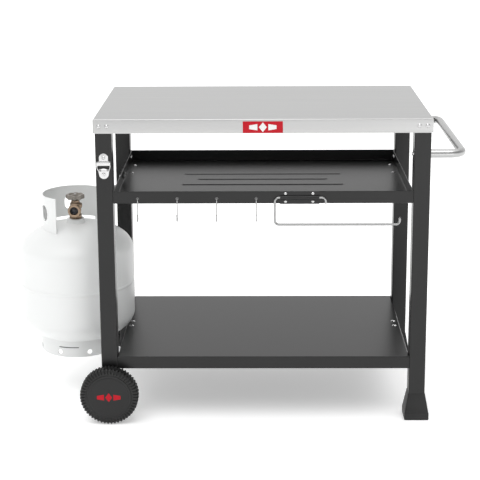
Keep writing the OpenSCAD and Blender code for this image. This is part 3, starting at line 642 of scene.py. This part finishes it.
def build_opener():
    """Pressed wall opener: two screw tabs, a hood, a mouth darkened by a black sheet of painted shade, and
    cheeks down to the lower tab.
    """
    cx, cz, face = -LEG_X, 681, -256

    def outline(points, y0, y1):
        soft = 0.5
        rings = []
        for y, k in ((y0, 0.0), (y1 + soft, 0.0), (y1 + 0.1, 0.35 * soft), (y1, soft)):
            ring = []
            for u, v in points:
                d = math.hypot(u, v)
                s = 1 - k / max(d, 1)
                ring.append(at(cx + u * s, y, cz + v * s))
            rings.append(ring)
        return loft(rings)

    plate = arc(0, -21, 12.4, 180, 360, 16) + [(14.5, -9), (17.6, 2), (18, 11), (11.5, 12.5)]
    plate += arc(0, 21, 11.4, 0, 180, 16) + [(-11.5, 12.5), (-18, 11), (-17.6, 2), (-14.5, -9)]
    shapes = [outline(plate, face, face - 2)]
    shapes.append(rounded_box((cx - 17.8, face - 11, cz + 2), (cx + 17.8, face - 1, cz + 11), 1.4, 4))
    for s in (-1, 1):
        rings = []
        for t in range(9):
            v = 3 - 17 * t / 8
            u = s * (17.4 - 5.0 * (t / 8) ** 1.6)
            out = 10.6 - 7.4 * (t / 8) ** 1.3
            rings.append([at(cx + u - 0.9, face - 0.5, cz + v), at(cx + u + 0.9, face - 0.5, cz + v),
                          at(cx + u + 0.9, face - out, cz + v), at(cx + u - 0.9, face - out, cz + v)])
        shapes.append(loft(rings))
    lip = []
    for t in range(13):
        u = -12.4 + 24.8 * t / 12
        top = -6.2 - 4.5 * (abs(u) / 12.4) ** 2
        lip.append([at(cx + u, face - 1, cz - 13.8), at(cx + u, face - 1, cz + top),
                    at(cx + u, face - 6.0, cz + top), at(cx + u, face - 6.8, cz + top - 1.2),
                    at(cx + u, face - 3.0, cz - 13.8)])
    shapes.append(loft(lip))
    body = piece("opener_cast", *merge(*shapes), "frame", "bright_steel", 30)
    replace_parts(body, "bottle_opener")
    # black sheet set back in the mouth: painted shade of the opener's deep cavity
    dark = []
    for t in range(13):
        u = -15.2 + 30.4 * t / 12
        low = -6.4 - 4.4 * (abs(u) / 15.2) ** 2
        dark.append([at(cx + u, face - 2.05, cz + low), at(cx + u, face - 2.05, cz + 2.2),
                     at(cx + u, face - 2.6, cz + 2.2), at(cx + u, face - 2.6, cz + low)])
    piece("opener_mouth_shade", *loft(dark), "frame", "black_plastic")


# ---------------------------------------------------------------- tubes and wires

HANDLE_Z = 706
HANDLE_NEAR, HANDLE_FAR = 421, 504  # the leg's face and the grip, along X


def build_handle():
    """Bent steel tube between the two right legs."""
    corners = [at(HANDLE_NEAR, -LEG_Y, HANDLE_Z), at(HANDLE_FAR, -LEG_Y, HANDLE_Z),
               at(HANDLE_FAR, LEG_Y, HANDLE_Z), at(HANDLE_NEAR, LEG_Y, HANDLE_Z)]
    bar = tube(rounded_path(corners, 0.032, 14), 0.011, 48, False)
    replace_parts(piece("handle_bar", *bar, "frame", "handle_steel", 60), "handle_tube")


def wire(name, points, radius, body, *replaced):
    """A bent steel wire that stands for CAD nodes; radius is in metres."""
    obj = piece(name, *tube(points, radius, 24), body, "bright_steel", 60)
    obj.data.materials[0] = MATERIALS["wire_steel"]
    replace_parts(obj, *replaced)


def build_towel_bar():
    """Wire bar that hangs from the bracket, drops, runs along the cart and turns up at its end."""
    y, z, drop, bend = -258.3, 598, 70, 0.010
    near, far, pivot = 30, 346, 158.6
    corners = [at(pivot, y, z - 14), at(pivot, y, z), at(near, y, z), at(near, y, z - drop)]
    corners += [at(far, y, z - drop), at(far, y, z - 53)]
    wire("towel_rail", rounded_path(corners, bend, 10), 0.003, "towel_bar", "towel_bar")


HOOK_X, HOOK_PITCH = -317, 100
HOOK_Y, HOOK_Z = -253, 589.8  # the loop's middle, which is the joint
HOOK_LOW = -41.3  # the crook's middle below the loop's
LOOP_R, CROOK_R = 4, 9


def build_hook(number):
    """S-hook: a small loop through the tray's hole and an open crook below."""
    x = HOOK_X + HOOK_PITCH * (number - 1)

    def local(out, up):
        return at(x, HOOK_Y - out, HOOK_Z + up)

    points = [local(-LOOP_R, -3)]
    points += [local(u, v) for u, v in arc(0, 0, LOOP_R, 180, 0, 14)]
    points += [local(u, v) for u, v in arc(LOOP_R + CROOK_R, HOOK_LOW, CROOK_R, 180, 360, 18)]
    points.append(local(LOOP_R + 2 * CROOK_R, HOOK_LOW + CROOK_R))
    body = "hook_%d" % number
    wire(body + "_wire", points, 0.0015, body, body)


build_worktop()
build_badge()
build_handle()
build_towel_bar()
for number in (1, 2, 3, 4):
    build_hook(number)
build_wheel("front", -1)
build_wheel("rear", 1)
build_cylinder()
build_handwheel()
build_beads()
edge_bead("tray_rim", PAN_X - 0.9, PAN_Y - 0.9, TRAY_TOP_Z, 1.3)
build_boot("boot_front_right", -1)
build_boot("boot_rear_right", 1)
build_opener()

# ---------------------------------------------------------------- studio

def floor():
    """Plain pale floor, just below the part so that the two never share a face."""
    mesh = bpy.data.meshes.new("studio_floor")
    half = 60.0
    corners = [(-half, -half, 0), (half, -half, 0), (half, half, 0), (-half, half, 0)]
    mesh.from_pydata(corners, [], [(0, 1, 2, 3)])
    obj = bpy.data.objects.new("studio_floor", mesh)
    bpy.context.collection.objects.link(obj)
    mat = new_material("studio_floor", grey(0.90), 0.95, Emission_Color=(1, 1, 1, 1), Emission_Strength=0.35)
    mesh.materials.append(mat)
    obj.location.z = -0.0004


def world():
    """White surroundings, dimmer behind the camera and bright overhead."""
    sky = bpy.data.worlds.new("studio")
    bpy.context.scene.world = sky
    sky.use_nodes = True
    tree = sky.node_tree
    back = tree.nodes["Background"]
    coords = tree.nodes.new("ShaderNodeTexCoord")
    split = tree.nodes.new("ShaderNodeSeparateXYZ")
    tree.links.new(coords.outputs["Generated"], split.inputs["Vector"])

    def ranged(source, low, high, first, last):
        node = tree.nodes.new("ShaderNodeMapRange")
        node.interpolation_type = "SMOOTHSTEP"
        node.inputs["From Min"].default_value = low
        node.inputs["From Max"].default_value = high
        for key, value in (("To Min", first), ("To Max", last)):
            if isinstance(value, (int, float)):
                node.inputs[key].default_value = value
            else:
                tree.links.new(value, node.inputs[key])
        tree.links.new(source, node.inputs["Value"])
        return node.outputs["Result"]

    # dim behind the camera and at the sides, white at the horizon and behind the cart, bright overhead
    sides = ranged(split.outputs["Y"], -0.3, 0.75, 0.42, 1.0)
    above = ranged(split.outputs["Z"], 0.10, 0.24, 1.0, sides)
    whole = ranged(split.outputs["Z"], 0.62, 0.90, above, 1.5)
    tree.links.new(whole, back.inputs["Strength"])
    back.inputs["Color"].default_value = (1, 1, 1, 1)


def area(name, place, aim, width, height, watts):
    data = bpy.data.lights.new(name, "AREA")
    data.shape = "RECTANGLE"
    data.size, data.size_y = width, height
    data.energy = watts
    obj = bpy.data.objects.new(name, data)
    bpy.context.collection.objects.link(obj)
    obj.location = place
    obj.rotation_euler = (Vector(aim) - Vector(place)).to_track_quat("-Z", "Y").to_euler()
    return obj


def sun(name, toward, strength, spread_deg):
    data = bpy.data.lights.new(name, "SUN")
    data.energy = strength
    data.angle = math.radians(spread_deg)
    obj = bpy.data.objects.new(name, data)
    bpy.context.collection.objects.link(obj)
    obj.rotation_euler = Vector(toward).to_track_quat("-Z", "Y").to_euler()


CAMERA_PLACE = (0.0651, -3.5327, 1.4079)
CAMERA_TURN, CAMERA_DOWN, CAMERA_ROLL = 0.82, 13.23, -0.33  # degrees


def camera():
    """The photograph's viewpoint: slightly left of the cart's middle, looking a little down."""
    data = bpy.data.cameras.new("camera")
    data.sensor_width = 36.0
    data.lens = 100.3
    data.shift_y = -0.12
    data.clip_end = 200
    obj = bpy.data.objects.new("camera", data)
    bpy.context.collection.objects.link(obj)
    turn = Matrix.Rotation(math.radians(CAMERA_TURN), 4, "Z")
    tip = Matrix.Rotation(math.radians(90 - CAMERA_DOWN), 4, "X")
    roll = Matrix.Rotation(math.radians(CAMERA_ROLL), 4, "Z")
    obj.matrix_world = Matrix.Translation(CAMERA_PLACE) @ turn @ tip @ roll
    bpy.context.scene.camera = obj


floor()
world()
sun("key", (0.12, 0.50, -1.0), 0.92, 50)
glow = area("front_right", (1.9, -4.2, 0.25), (0.5, -0.3, 0.75), 1.6, 0.9, 8)
glow.visible_camera = False
camera()
bpy.context.scene.view_settings.view_transform = "Standard"
